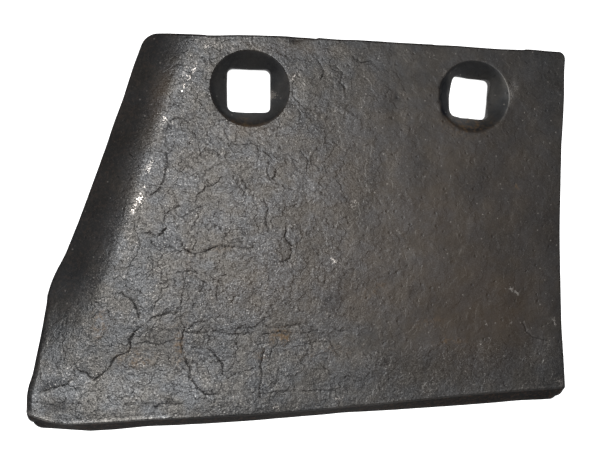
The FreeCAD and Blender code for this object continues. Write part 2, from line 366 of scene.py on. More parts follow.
SWELLS = [
    Swell(Side.TOP, 30.0, 120.0, 0.18),
    Swell(Side.REAR, -40.0, 110.0, 0.12),
    Swell(Side.TOP, -13.0, 16.0, -0.5),
    Swell(Side.TOP, 14.0, 14.0, 0.32),
    Swell(Side.TOP, 34.0, 10.0, 0.15),
    Swell(Side.TOP, 74.0, 16.0, -0.36),
    Swell(Side.TOP, 98.0, 9.0, -0.25),
    Swell(Side.LEADING, 10.0, 20.0, 0.75),
    Swell(Side.LEADING, -10.0, 8.0, 0.2),
    Swell(Side.LEADING, -28.0, 20.0, -0.22),
    Swell(Side.LEADING, -54.0, 8.0, 0.75),
    Swell(Side.LEADING, -70.0, 13.0, -0.25),
    Swell(Side.LEADING, -84.5, 5.0, 0.45),
    Swell(Side.LEADING, -95.0, 8.0, -0.7),
    Swell(Side.REAR, -2.0, 14.0, 0.36),
    Swell(Side.REAR, -44.0, 28.0, -0.22),
    Swell(Side.REAR, -86.0, 16.0, 0.22),
    Swell(Side.BOTTOM, -2.0, 24.0, 0.24),
    Swell(Side.BOTTOM, 34.0, 16.0, -0.14),
    Swell(Side.BOTTOM, -54.0, 10.0, -0.15),
    Swell(Side.BOTTOM, -29.0, 9.0, -0.25),
    Swell(Side.BOTTOM, 29.0, 9.0, -0.15),
    Swell(Side.BOTTOM, 87.0, 11.0, -0.2),
]


@dataclass
class PlateForm:
    """The share's form: outline, corners, bevel, lip and holes, as a map of a plain square slab."""

    thickness: float = 6.0
    height: float = 113.5
    top: float = 15.5
    rear: float = 101.3
    rear_hollow: float = 1.7
    rear_hollow_power: float = 2.2
    tip_reach: float = 62.3
    toe_lean_deg: float = 9.2
    toe_rise: float = 2.2
    toe_rise_length: float = 17.0
    top_rear_corner: float = 2.6
    bottom_rear_corner: float = 2.9
    tip_corner: float = 4.3
    lip_corner: float = 3.0
    bevel_height: float = 3.35
    bevel_rear_gain: float = 1.7
    bevel_front_gain: float = 0.5
    bevel_tip_gain: float = 4.0
    bevel_tip_length: float = 13.0
    bevel_rear_start: float = 75.0
    bevel_rear_length: float = 70.0
    bevel_front_length: float = 80.0
    tip_wear: float = 0.2
    tip_wear_width: float = 0.6
    tip_wear_top: float = -58.0
    tip_wear_fade: float = 22.0
    land: float = 1.0
    edge_round: float = 0.45
    strip_share: float = 24 / 216
    bevel_share: float = 10 / 156
    arris_squeeze: float = 0.75
    arris_squeeze_rows: float = 1.5
    columns: int = 216
    rows: int = 156
    wall_cuts: int = 7
    hole_block: float = 10.6
    hole_blend: float = 1.55
    swell_reach: float = 10.0
    floor_gap_m: float = 0.00003

    def __post_init__(self) -> None:
        """Build the lip and the holes on the plate's sizes."""
        self.bottom = self.top - self.height
        self.lip = BentLip(self.top, self.thickness)
        self.holes = [
            BoltHole("front", 0.0),
            BoltHole("rear", 69.8, turn_deg=5.0, head=11.6, head_squash=0.7, head_shift=0.15,
                     rim=0.3, soft_rim=0.6, uneven=0.2),
        ]
        self.toe_slope = math.tan(math.radians(self.toe_lean_deg))
        self.blocks = [self.block(hole) for hole in self.holes]

    def rear_across(self, up: float) -> float:
        """Return where the hollow rear edge lies at a height."""
        share = (up - self.bottom) / self.height * 2 - 1
        return self.rear - self.rear_hollow * (1 - abs(share) ** self.rear_hollow_power)

    def toe_across(self, up: float) -> float:
        """Return where the leading edge below the kink lies at a height."""
        return (up - self.bottom) * self.toe_slope - self.tip_reach

    def strip_length(self, up: float, depth: float) -> float:
        """Return the developed length ahead of the root at a height, after the toe is trimmed."""
        lip = self.lip
        across, rise = self.toe_across(up) + lip.root_reach, up - lip.top
        station = -across * lip.sin_lean - rise * lip.cos_lean
        reach = -across * lip.cos_lean + rise * lip.sin_lean
        toe = lip.ahead_at(station, reach, depth)
        station = (lip.top - up) / lip.cos_lean
        whole = 0.0
        for _ in range(3):
            whole = lip.section(station)[2]
            along = lip.reach(station, whole, depth)[0]
            station = (lip.top - up + along * lip.sin_lean) / lip.cos_lean
        return min(whole, toe)

    def row_height(self, share: float, behind: float) -> float:
        """Return the height of a row, a distance behind the leading edge.

        Args:
            share: The row's place from the bottom edge, 0, to the top edge, 1.
            behind: Distance behind the leading edge in millimetres.
        """
        rise = self.toe_rise * max(0.0, 1 - behind / self.toe_rise_length)
        low = self.bottom + rise
        arris = self.bottom + self.bevel_at(behind)
        if share < self.bevel_share:
            return blend(low, arris, share / self.bevel_share)
        row = (share - self.bevel_share) * self.rows
        if row > 0.5:
            row -= self.arris_squeeze * math.exp((1 - row) / self.arris_squeeze_rows)
        return blend(arris, self.top, row / ((1 - self.bevel_share) * self.rows))

    def bevel_at(self, behind: float) -> float:
        """Return the height of the bevel: it broadens towards the rear and wraps up round the tip."""
        to_rear = ease((behind - self.bevel_rear_start) / self.bevel_rear_length)
        to_front = 1 - ease(behind / self.bevel_front_length)
        to_tip = clamp(1 - behind / self.bevel_tip_length)
        broad = self.bevel_height + self.bevel_rear_gain * to_rear + self.bevel_front_gain * to_front
        return broad + self.bevel_tip_gain * to_tip**2

    def block(self, hole: BoltHole) -> tuple[float, float, float, float]:
        """Return the grid lines round a hole: left, right, low and high, as shares of the slab."""
        sides = []
        for across, up in ((-1, 0), (1, 0), (0, -1), (0, 1)):
            share = self.share_at(hole.across + across * self.hole_block, up * self.hole_block)
            axis = 0 if across else 1
            cells = self.rows if axis else self.columns
            sides.append(round(share[axis] * cells) / cells)
        return tuple(sides)

    def share_at(self, across: float, up: float) -> tuple[float, float]:
        """Return the slab's shares at a point of the flat plate."""
        root, rear = self.lip.root_across(up), self.rear_across(up)
        along = self.strip_share + (1 - self.strip_share) * (across - root) / (rear - root)
        arris = self.bottom + self.bevel_at(across - self.toe_across(up))
        rise = self.bevel_share + (1 - self.bevel_share) * (up - arris) / (self.top - arris)
        return along, rise

    def nearness(self, number: int, along: float, rise: float) -> float:
        """Return how far out a share lies from a hole's block: 1 on the block's own outline."""
        left, right, low, high = self.blocks[number]
        across = abs(along - (left + right) / 2) / ((right - left) / 2)
        up = abs(rise - (low + high) / 2) / ((high - low) / 2)
        return max(across, up)

    @staticmethod
    def turn_corner(near: float, other: float, size: float) -> tuple[float, float]:
        """Round a corner: turn two distances from its sides into those of the rounded corner."""
        if near >= size or other >= size:
            return near, other
        first, second = 1 - near / size, 1 - other / size
        squeeze = max(first, second) / math.hypot(first, second)
        return size * (1 - first * squeeze), size * (1 - second * squeeze)

    def wall(self, level: float, face: float) -> tuple[float, float]:
        """Return the edge profile at a level, as the inset from the outline and the height.

        Args:
            level: 0 at the front face and 1 at the back face.
            face: Height of the front face at the edge.
        """
        bend = min(self.edge_round, face * 0.35)
        points = [
            (bend, face), (bend * 0.29, face - bend * 0.29), (0.0, face - bend),
            (0.0, blend(face - bend, bend, 0.25)), (0.0, blend(face - bend, bend, 0.5)),
            (0.0, blend(face - bend, bend, 0.75)), (0.0, bend), (bend * 0.29, bend * 0.29), (bend, 0.0),
        ]
        return points[round(level * (len(points) - 1))]

    def face_height(self, rise: float, behind: float, up: float) -> float:
        """Return the height of the front face: the bevel, and the worn edge above the tip."""
        full = self.thickness
        if rise < self.bevel_share:
            full = blend(self.land, self.thickness, rise / self.bevel_share)
        worn = self.tip_wear * clamp(1 - behind / self.tip_wear_width)
        worn *= clamp((self.tip_wear_top - up) / self.tip_wear_fade)
        return full - worn * full / self.thickness

    def place(self, along: float, rise: float, level: float) -> Vector:
        """Return where a point of the slab ends up on the share.

        Args:
            along: Share from the leading edge, 0, to the rear edge, 1.
            rise: Share from the bottom edge, 0, to the top edge, 1.
            level: 0 at the front face and 1 at the back face.

        Returns:
            The point in plate millimetres.
        """
        up = self.row_height(rise, 30.0)
        depth = self.thickness * level
        strip = self.strip_length(up, depth)
        root, rear = self.lip.root_across(up), self.rear_across(up)
        whole = strip + rear - root
        if along < self.strip_share:
            behind = strip * along / self.strip_share
        else:
            behind = strip + (rear - root) * (along - self.strip_share) / (1 - self.strip_share)
        up = self.row_height(rise, behind)
        face = self.face_height(rise, behind, up)
        from_rear, from_top = whole - behind, self.top - up
        low = self.row_height(0.0, behind)
        from_bottom = up - low
        on_edge = min(along, rise, 1 - along, 1 - rise) < TINY
        if on_edge:
            inset, height = self.wall(level, face)
            behind = inset if along < TINY else behind
            from_rear = inset if along > 1 - TINY else from_rear
            from_top = inset if rise > 1 - TINY else from_top
            from_bottom = inset if rise < TINY else from_bottom
        else:
            height = face * (1 - level)
        if from_top < from_bottom:
            behind, from_top = self.turn_corner(behind, from_top, self.lip_corner)
            from_rear, from_top = self.turn_corner(from_rear, from_top, self.top_rear_corner)
            up = self.top - from_top
        else:
            behind, from_bottom = self.turn_corner(behind, from_bottom, self.tip_corner)
            from_rear, from_bottom = self.turn_corner(from_rear, from_bottom, self.bottom_rear_corner)
            up = low + from_bottom
        across = self.rear_across(up) - from_rear
        if along < self.strip_share:
            ahead = self.strip_length(up, self.thickness - height) - behind
            across = self.lip.root_across(up) - ahead / self.lip.cos_lean
        gaps = {Side.LEADING: behind, Side.REAR: from_rear, Side.TOP: from_top, Side.BOTTOM: up - low}
        point = self.swell(Vector((across, up, height)), gaps)
        return self.roll_lip(self.ring_holes(point, along, rise, level))

    def swell(self, point: Vector, gaps: dict[Side, float]) -> Vector:
        """Push a point of the flat blank out with the swells of the edges near it.

        Args:
            point: The point on the flat blank.
            gaps: The point's distance from each side.

        Returns:
            The moved point.
        """
        out = {side: 0.0 for side in Side}
        for swell in SWELLS:
            place = point.y if swell.side in (Side.LEADING, Side.REAR) else point.x
            out[swell.side] += swell.at(place) * clamp(1 - gaps[swell.side] / self.swell_reach)
        move = Vector((out[Side.REAR] - out[Side.LEADING], out[Side.TOP] - out[Side.BOTTOM], 0))
        return point + move

    def roll_lip(self, point: Vector) -> Vector:
        """Return where a point of the flat blank ends up once the lip is rolled back."""
        ahead = (self.lip.root_across(point.y) - point.x) * self.lip.cos_lean
        if ahead <= 0:
            return point
        return self.lip.point(point.y, ahead, self.thickness - point.z)

    def ring_holes(self, point: Vector, along: float, rise: float, level: float) -> Vector:
        """Draw the grid round each hole into rings, and its wall onto the hole's profile."""
        for number, hole in enumerate(self.holes):
            near = self.nearness(number, along, rise)
            if near > self.hole_blend:
                continue
            offset = Vector((point.x - hole.across, point.y))
            bearing = math.atan2(offset.y, offset.x)
            profile = hole.profile(bearing, self.thickness)
            if near < 1.001:
                reach, height = profile[round(level * (len(profile) - 1))]
            else:
                rim = profile[0][0] if level < 0.5 else profile[-1][0]
                block = offset.length / near
                outer = block * self.hole_blend
                reach = rim + (offset.length - block) * (outer - rim) / (outer - block)
                height = point.z
            return Vector((hole.across + math.cos(bearing) * reach, math.sin(bearing) * reach, height))
        return point


class CrackKind(Enum):
    """How a line in the scale looks: its half width, its depth, how dark it is and how much uncovered steel
    and painted highlight its edge carries.
    """

    HAIR = (0.16, 0.05, 0.7, 0.2)
    OPEN = (0.19, 0.13, 0.9, 0.5)
    LAP = (0.22, 0.1, 0.5, 0.5)
    SCUFF_AND_HIGHLIGHT = (0.22, -0.02, 0.0, 2.2)
    SCRATCH = (0.2, 0.02, 0.0, 5.0)

    @property
    def half_width(self) -> float:
        """Half the width in millimetres."""
        return self.value[0]

    @property
    def depth(self) -> float:
        """Depth in millimetres."""
        return self.value[1]

    @property
    def dark(self) -> float:
        """How dark it is, up to 1."""
        return self.value[2]

    @property
    def bare_and_highlight(self) -> float:
        """How much uncovered steel and painted highlight show beside it, or along a scuff, a scratch or a
        painted highlight line.
        """
        return self.value[3]


@dataclass
class Crack:
    """A line in the scale, followed in the photograph's pixels: a crack, a scratch, a scuff, or a painted
    highlight along the lip's ridge or an edge.
    """

    kind: CrackKind
    pixels: list[tuple[float, float]]


class PatchKind(Enum):
    """What a patch of the face carries, named for the attribute that shows it."""

    RUST = "rust"
    SOOT = "soot"
    RUBBED = "rubbed"
    HAZE = "haze"
    BRIGHT = "bright"


@dataclass
class Patch:
    """A patch of stain, rub, raised gloss, painted highlight or painted shade, with its centre and half sizes
    in the photograph's pixels.
    """

    kind: PatchKind
    centre: tuple[float, float]
    half: tuple[float, float]
    strength: float = 1.0
    turn_deg: float = 0.0
    in_seat: bool = False


@dataclass
class Dent:
    """A shallow dent, or with a negative depth a bulge, in plate millimetres."""

    centre: tuple[float, float]
    half: tuple[float, float]
    depth: float
    turn_deg: float = 0.0

    def at(self, point: Vector) -> float:
        """Return the dent's depth at a point of the face."""
        turn = math.radians(self.turn_deg)
        across, up = point.x - self.centre[0], point.y - self.centre[1]
        first = (across * math.cos(turn) + up * math.sin(turn)) / self.half[0]
        second = (up * math.cos(turn) - across * math.sin(turn)) / self.half[1]
        return self.depth * (1 - ease(math.hypot(first, second)))


HAIR, OPEN, LAP, SCUFF_AND_HIGHLIGHT, SCRATCH = CrackKind
RUST, SOOT, RUBBED, HAZE, BRIGHT = PatchKind

CRACKS = [
    Crack(OPEN, [(166, 152), (167, 164), (163, 181), (158, 189), (149, 196)]),
    Crack(HAIR, [(166, 130), (170, 120), (178, 116), (186, 120), (193, 127), (194, 137)]),
    Crack(HAIR, [(179, 205), (167, 212), (161, 222)]),
    Crack(OPEN, [(144, 232), (150, 232), (156, 237), (162, 232), (166, 227)]),
    Crack(HAIR, [(163, 233), (163, 244), (167, 248)]),
    Crack(OPEN, [(180, 240), (184, 249), (194, 254), (206, 250), (218, 245), (235, 246)]),
    Crack(HAIR, [(235, 246), (256, 248)]),
    Crack(HAIR, [(152, 258), (152, 268), (147, 280)]),
    Crack(OPEN, [(112, 294), (121, 293), (132, 300), (137, 310), (139, 318)]),
    Crack(HAIR, [(90, 318), (97, 311), (105, 314), (112, 307)]),
    Crack(HAIR, [(162, 297), (156, 301), (152, 311)]),
    Crack(OPEN, [(178, 312), (165, 313), (152, 317), (143, 325), (134, 331), (130, 340), (129, 351)]),
    Crack(OPEN, [(129, 351), (120, 354), (113, 358), (110, 366), (102, 374), (93, 380),
                 (86, 373), (75, 369)]),
    Crack(OPEN, [(74, 368), (73, 377), (66, 384), (52, 388), (38, 393)]),
    Crack(HAIR, [(187, 268), (184, 285), (181, 300), (180, 318)]),
    Crack(OPEN, [(180, 318), (184, 329), (180, 344), (184, 356), (189, 368),
                 (189, 377), (196, 386), (205, 394), (219, 393)]),
    Crack(LAP, [(124, 404), (140, 403), (160, 404), (184, 403)]),
    Crack(OPEN, [(208, 349), (215, 355), (221, 363), (223, 375)]),
    Crack(OPEN, [(264, 348), (262, 358), (260, 366), (262, 376), (259, 388), (259, 398)]),
    Crack(HAIR, [(260, 393), (275, 391), (292, 391)]),
    Crack(LAP, [(232, 328), (248, 328), (262, 325), (273, 328), (287, 326), (302, 324)]),
    Crack(HAIR, [(295, 323), (304, 328)]),
    Crack(LAP, [(304, 344), (315, 341), (328, 342)]),
    Crack(HAIR, [(335, 329), (342, 331), (350, 330)]),
    Crack(HAIR, [(323, 366), (328, 370), (332, 375)]),
    Crack(LAP, [(269, 162), (267, 171), (270, 179), (275, 176), (276, 168)]),
    Crack(HAIR, [(336, 180), (340, 184), (342, 187)]),
    Crack(OPEN, [(286, 227), (284, 237), (291, 246), (290, 258), (280, 262)]),
    Crack(HAIR, [(312, 248), (319, 255)]),
    Crack(HAIR, [(228, 143), (240, 144), (252, 143)]),
    Crack(LAP, [(523, 322), (526, 331), (533, 337), (548, 340)]),
    Crack(SCRATCH, [(510, 288), (521.5, 296)]),
    Crack(SCUFF_AND_HIGHLIGHT, [(331, 258), (335, 262)]),
    Crack(SCUFF_AND_HIGHLIGHT, [(482, 339), (477, 350)]),
    Crack(SCUFF_AND_HIGHLIGHT, [(482, 318), (486, 325)]),
    Crack(SCUFF_AND_HIGHLIGHT, [(553, 318), (556, 326)]),
    Crack(HAIR, [(128, 153), (136, 159)]),
    Crack(HAIR, [(170, 141), (180, 146), (190, 142)]),
    Crack(HAIR, [(200, 206), (190, 211), (183, 216), (176, 214)]),
    Crack(HAIR, [(188, 330), (194, 322), (204, 321)]),
    Crack(HAIR, [(121, 330), (130, 328), (142, 333), (155, 327), (170, 331)]),
    Crack(LAP, [(176, 330), (196, 333), (214, 331), (232, 334), (250, 333)]),
    Crack(HAIR, [(262, 334), (280, 331), (300, 333), (318, 330)]),
    Crack(HAIR, [(134, 344), (146, 341), (158, 345), (172, 340)]),
    Crack(HAIR, [(168, 356), (172, 366), (180, 372)]),
    Crack(HAIR, [(205, 330), (209, 338), (207, 346)]),
    Crack(HAIR, [(228, 378), (236, 372), (246, 371), (256, 366)]),
    Crack(HAIR, [(300, 391), (318, 389), (336, 390)]),
    Crack(HAIR, [(196, 158), (204, 150), (214, 150), (222, 156)]),
    Crack(HAIR, [(222, 176), (214, 184), (206, 186), (198, 194)]),
    Crack(HAIR, [(240, 176), (246, 186), (243, 197)]),
    Crack(HAIR, [(264, 200), (268, 210), (265, 220), (268, 230)]),
    Crack(HAIR, [(300, 150), (308, 160), (306, 172)]),
    Crack(LAP, [(336, 66), (342, 72), (340, 82), (346, 88)]),
    Crack(HAIR, [(318, 60), (324, 70), (320, 80)]),
    Crack(HAIR, [(352, 56), (360, 62), (372, 60)]),
    Crack(HAIR, [(150, 240), (158, 250), (170, 246), (180, 252)]),
    Crack(HAIR, [(196, 276), (204, 282), (200, 292)]),
    Crack(HAIR, [(176, 272), (190, 270), (198, 273)]),
    # Painted highlights: these scuff lines follow the lip's ridge, where the bend catches the lamp, and show
    # as uncovered steel.
    Crack(SCUFF_AND_HIGHLIGHT, [(196, 63), (193, 70), (190, 76), (186, 83), (181, 91)]),
    Crack(SCUFF_AND_HIGHLIGHT, [(189, 71), (185, 80), (183, 87)]),
    Crack(SCUFF_AND_HIGHLIGHT, [(200, 46), (207, 45), (216, 46)]),
    Crack(SCUFF_AND_HIGHLIGHT, [(165, 117), (163, 123), (161, 129)]),
    Crack(SCUFF_AND_HIGHLIGHT, [(152, 160), (149, 167), (147, 173)]),
    Crack(SCUFF_AND_HIGHLIGHT, [(144, 186), (140, 193), (137, 199), (134, 205), (131, 213)]),
    Crack(SCUFF_AND_HIGHLIGHT, [(141, 196), (138, 203)]),
    Crack(SCUFF_AND_HIGHLIGHT, [(298, 70), (295, 75), (292, 80)]),
    Crack(SCUFF_AND_HIGHLIGHT, [(291, 247), (290, 254)]),
    Crack(SCUFF_AND_HIGHLIGHT, [(272, 407), (279, 408)]),
    Crack(SCUFF_AND_HIGHLIGHT, [(334, 398), (345, 397)]),
]

PATCHES = [
    # Sheen patches raise the gloss and lighten the face where it looked lighter; on the hole rims and on seat
    # walls that face the lamp they are painted highlights.
    Patch(BRIGHT, (120, 392), (170, 46), 0.95),
    Patch(BRIGHT, (280, 370), (160, 50), 0.3),
    Patch(BRIGHT, (205, 70), (70, 60), 0.4),
    Patch(BRIGHT, (265, 150), (100, 130), 0.2),
    Patch(BRIGHT, (270, 44), (130, 14), 0.45),
    Patch(BRIGHT, (375, 58), (120, 50), 0.25),
    Patch(BRIGHT, (100, 402), (70, 18), 0.25),
    # Painted shade: a darker patch on the turned-back lip.
    Patch(SOOT, (115, 295), (34, 60), 0.1),
    Patch(SOOT, (552, 270), (22, 120), 0.12),
    Patch(HAZE, (480, 315), (120, 80), 0.6),
    Patch(HAZE, (350, 285), (90, 60), 0.4),
    Patch(HAZE, (250, 290), (80, 50), 0.5),
    Patch(HAZE, (110, 320), (26, 20), 0.5),
    Patch(SOOT, (78, 265), (20, 24), 0.2),
    # Painted highlights: raised gloss on the front hole's rim and seat walls, and on the rear hole's seat and
    # rim.
    Patch(BRIGHT, (301, 90), (7, 32), 1.3, 4.0),
    Patch(BRIGHT, (281, 92), (14, 36), 3.2, in_seat=True),
    Patch(BRIGHT, (218, 90), (12, 34), 0.6, in_seat=True),
    Patch(BRIGHT, (497, 98), (16, 36), 4.0, in_seat=True),
    Patch(BRIGHT, (513, 90), (7, 26), 1.4),
    Patch(BRIGHT, (450, 398), (190, 26), 0.7),
    Patch(BRIGHT, (546, 360), (34, 40), 0.7),
    Patch(HAZE, (430, 220), (230, 260), 1.0),
    Patch(HAZE, (240, 200), (200, 230), 0.5),
    Patch(HAZE, (160, 95), (16, 60), 0.9, 20.0),
    Patch(HAZE, (250, 128), (34, 12), 0.9),
    Patch(HAZE, (290, 48), (90, 12), 0.7),
    Patch(SOOT, (58, 406), (30, 8), 0.65),
    Patch(SOOT, (50, 385), (22, 9), 0.7, -15.0),
    Patch(SOOT, (158, 404), (42, 5), 0.65),
    Patch(SOOT, (275, 388), (24, 15), 0.12),
    Patch(SOOT, (150, 340), (20, 8), 0.25),
    Patch(SOOT, (145, 268), (18, 12), 0.06),
    Patch(SOOT, (100, 270), (9, 26), 0.3, 20.0),
    Patch(SOOT, (345, 275), (50, 32), 0.14),
    Patch(SOOT, (360, 378), (70, 12), 0.12),
    # Painted shade: the rear seat's left wall is darkened and loses its gloss.
    Patch(SOOT, (446, 98), (11, 28), 2.0),
    Patch(SOOT, (395, 95), (5, 8), 0.35),
    Patch(SOOT, (332, 300), (16, 12), 0.25),
    Patch(SOOT, (412, 288), (14, 14), 0.3),
    Patch(SOOT, (385, 360), (12, 6), 0.3),
    Patch(SOOT, (328, 298), (6, 4), 0.3),
    Patch(RUST, (281, 336), (24, 10), 1.6),
    Patch(SOOT, (281, 336), (26, 10), 0.25),
    Patch(RUST, (261, 353), (7, 14), 0.5),
    Patch(RUST, (178, 350), (10, 36), 0.8),
    Patch(RUST, (182, 322), (20, 10), 0.35),
    Patch(RUST, (99, 325), (14, 24), 1.1),
    Patch(RUST, (135, 358), (34, 15), 0.6),
    Patch(RUST, (188, 262), (10, 36), 0.25),
    Patch(RUST, (220, 247), (36, 10), 0.4),
    Patch(RUST, (322, 352), (56, 12), 0.25),
    Patch(RUST, (375, 290), (24, 9), 0.45, -25.0),
    Patch(RUST, (430, 322), (28, 9), 0.38),
    Patch(RUST, (450, 340), (26, 7), 0.45),
    Patch(RUST, (288, 172), (6, 4), 0.6),
    Patch(RUST, (247, 120), (30, 9), 0.35),
    Patch(RUST, (470, 122), (36, 18), 0.6),
    Patch(RUST, (444, 100), (8, 24), 0.35),
    Patch(RUST, (517, 186), (4, 3), 1.0),
    # Painted highlights along the lip's ridge, shown as uncovered steel.
    Patch(RUBBED, (185, 75), (6, 20), 0.6, 20.0),
    Patch(RUBBED, (212, 45), (16, 4), 0.6),
    Patch(RUBBED, (164, 123), (5, 11), 0.6, 20.0),
    Patch(RUBBED, (148, 168), (5, 12), 0.6, 20.0),
    Patch(RUBBED, (137, 200), (6, 20), 0.7, 20.0),
    Patch(RUBBED, (512, 92), (4, 22), 0.35),
    Patch(RUBBED, (447, 76), (5, 12), 0.4, -45.0),
    # A chip in the front seat's wall carrying a painted highlight, shown as uncovered steel.
    Patch(RUBBED, (273, 93), (2.2, 5.5), 8.0, in_seat=True),
    Patch(RUBBED, (557, 381), (3, 6), 0.7),
    Patch(RUBBED, (355, 203), (8, 6), 0.7),
    Patch(BRIGHT, (470, 223), (4, 14), 1.0),
    Patch(BRIGHT, (460, 249), (12, 4), 1.2, -25.0),
    Patch(BRIGHT, (410, 252), (9, 9), 0.8),
    Patch(BRIGHT, (359, 269), (14, 6), 1.0, 15.0),
    Patch(BRIGHT, (377, 254), (4, 14), 0.9),
    Patch(BRIGHT, (552, 321), (4, 12), 1.2, -35.0),
    Patch(BRIGHT, (480, 344), (4, 12), 0.8, 25.0),
    Patch(RUBBED, (509, 324), (2, 2), 1.0),
]

DENTS = [
    Dent((-20.0, -78.0), (30.0, 14.0), 0.12, 8.0),
    Dent((28.0, -20.0), (26.0, 18.0), 0.10, 20.0),
    Dent((52.0, -60.0), (34.0, 16.0), -0.10, -10.0),
    Dent((88.0, -70.0), (10.0, 26.0), 0.14, 6.0),
    Dent((93.0, -84.0), (12.0, 9.0), -0.16, 30.0),
    Dent((10.0, -50.0), (20.0, 14.0), -0.08, -30.0),
    Dent((14.0, 15.5), (3.2, 1.4), 0.5, 0.0),
    Dent((44.5, -4.0), (5.0, 9.0), 0.10, 0.0),
]


@dataclass
class FaceRelief:
    """How far the front face lies under its ideal plane: slow waves, dents and hammered texture."""

    slow_wave: float = 16.0
    slow_depth: float = 0.10
    blow_wave: float = 5.0
    blow_depth: float = 0.05
    grit_wave: float = 1.7
    grit_depth: float = 0.035
    drawn_below: float = -70.0
    drawn_depth: float = -0.36
    drawn_fade: float = 22.0

    def at(self, point: Vector) -> float:
        """Return the depth under the ideal face at a point."""
        slow = noise.noise(point / self.slow_wave + Vector((3.1, 7.7, 0)))
        blow = noise.noise(point / self.blow_wave + Vector((11.3, 2.9, 0)))
        grit = noise.noise(point / self.grit_wave + Vector((5.5, 1.3, 0)))
        depth = (slow + 0.5) * self.slow_depth + blow * self.blow_depth + grit * self.grit_depth
        drawn = clamp((self.drawn_below - point.y) / self.drawn_fade)
        return depth + drawn * drawn * self.drawn_depth + sum(dent.at(point) for dent in DENTS)


class Share:
    """The share itself: makes the mesh and marks it. Lengths are in plate millimetres."""

    track_step = 0.2
    edge_uneven = 0.14
    stain_ragged = 1.8
    hole_clear = 14.0
    arris_above = 0.25
    arris_half = 0.45
    arris_faint = 0.15
    arris_start = -10.0
    arris_fade = 14.0
    arris_highlight_sheen = 12.0
    arris_highlight_rub = 0.8

    def __init__(self, form: PlateForm, viewpoint: Viewpoint, relief: FaceRelief) -> None:
        """Keep what the mesh is made from."""
        self.form = form
        self.viewpoint = viewpoint
        self.relief = relief
        self.tracks = self.crack_tracks()

    def crack_tracks(self) -> list[tuple[Vector, CrackKind]]:
        """Return closely spaced points along every crack, with a little waver, on the front face."""
        tracks = []
        for crack in CRACKS:
            waver, tremor = (0.0, 0.0) if crack.kind is SCRATCH else (0.28, 0.1)
            ends = [self.viewpoint.on_plane(pixel, self.form.thickness) for pixel in crack.pixels]
            for start, end in zip(ends, ends[1:]):
                count = max(1, round((end - start).length / self.track_step))
                for number in range(count):
                    point = start.lerp(end, number / count)
                    sway = self.stray(point / 1.3) * waver + self.stray(point / 0.5) * tremor
                    tracks.append((Vector((point.x, point.y, 0)) + sway, crack.kind))
        return tracks

    @staticmethod
    def stray(place: Vector) -> Vector:
        """Return a smooth offset in the plate's plane, up to about 1 each way, the same in every run."""
        return Vector((noise.noise(place), noise.noise(place + Vector((9, 4, 2))), 0))

    def slab(self) -> bmesh.types.BMesh:
        """Make the slab: a grid without the hole blocks, given a thickness and levels in its walls."""
        form = self.form
        mesh = bmesh.new()
        bmesh.ops.create_grid(mesh, x_segments=form.columns, y_segments=form.rows, size=0.5)
        inside = []
        for face in mesh.faces:
            middle = face.calc_center_median()
            along, rise = middle.x + 0.5, middle.y + 0.5
            if any(form.nearness(number, along, rise) < 1 for number in range(len(form.holes))):
                inside.append(face)
        bmesh.ops.delete(mesh, geom=inside, context="FACES")
        extruded = bmesh.ops.extrude_face_region(mesh, geom=mesh.faces[:])
        lowered = [item for item in extruded["geom"] if isinstance(item, bmesh.types.BMVert)]
        bmesh.ops.translate(mesh, vec=(0, 0, -1), verts=lowered)
        upright = [edge for edge in mesh.edges if abs(edge.verts[0].co.z - edge.verts[1].co.z) > 0.5]
        outer = [edge for edge in upright if self.on_outline(edge.verts[0].co)]
        inner = [edge for edge in upright if not self.on_outline(edge.verts[0].co)]
        bmesh.ops.subdivide_edges(mesh, edges=outer, cuts=form.wall_cuts, use_grid_fill=True)
        levels = len(form.holes[0].profile(0.0, form.thickness)) - 2
        bmesh.ops.subdivide_edges(mesh, edges=inner, cuts=levels, use_grid_fill=True)
        return mesh

    @staticmethod
    def on_outline(place: Vector) -> bool:
        """Tell whether a point of the slab is on its outer outline."""
        return max(abs(place.x), abs(place.y)) > 0.5 - TINY

    def shape(self, mesh: bmesh.types.BMesh) -> None:
        """Draw the slab onto the share's form, and give its front face its relief."""
        for vertex in mesh.verts:
            slab = vertex.co.copy()
            vertex.co = self.form.place(slab.x + 0.5, slab.y + 0.5, -slab.z)
        bmesh.ops.recalc_face_normals(mesh, faces=mesh.faces[:])
        mesh.normal_update()

    def refine_cracks(self, mesh: bmesh.types.BMesh) -> kdtree.KDTree:
        """Divide the front face along the cracks until the grooves can be drawn in it."""
        tree = kdtree.KDTree(len(self.tracks))
        for number, (point, _) in enumerate(self.tracks):
            tree.insert(point, number)
        tree.balance()
        for reach in (0.75, 0.45):
            near = {
                vertex for vertex in mesh.verts
                if vertex.normal.z > 0.7 and tree.find(Vector((vertex.co.x, vertex.co.y, 0)))[2] < reach
            }
            edges = [edge for edge in mesh.edges if edge.verts[0] in near and edge.verts[1] in near]
            bmesh.ops.subdivide_edges(mesh, edges=edges, cuts=1, use_grid_fill=True)
            mesh.normal_update()
        return tree

    def carve(self, mesh: bmesh.types.BMesh, tree: kdtree.KDTree) -> None:
        """Lower the front face by its relief and grooves, and let every edge run a little uneven."""
        mesh.normal_update()
        groove = mesh.verts.layers.float["groove"]
        rubbed = mesh.verts.layers.float[RUBBED.value]
        moves = []
        for vertex in mesh.verts:
            point = vertex.co.copy()
            facing = clamp(vertex.normal.z)
            depth = self.relief.at(Vector((point.x, point.y, 0))) * facing
            flat, number, distance = tree.find(Vector((point.x, point.y, 0)))
            kind = self.tracks[number][1]
            if facing > 0.7 and distance < kind.half_width * 3:
                fall = clamp(1 - distance / (kind.half_width * 1.6))
                along = clamp(0.75 + 0.8 * noise.noise(flat / 2.6), 0.15)
                depth += kind.depth * fall * along
                vertex[groove] = clamp(fall * 1.3) * kind.dark * clamp(along * 1.4)
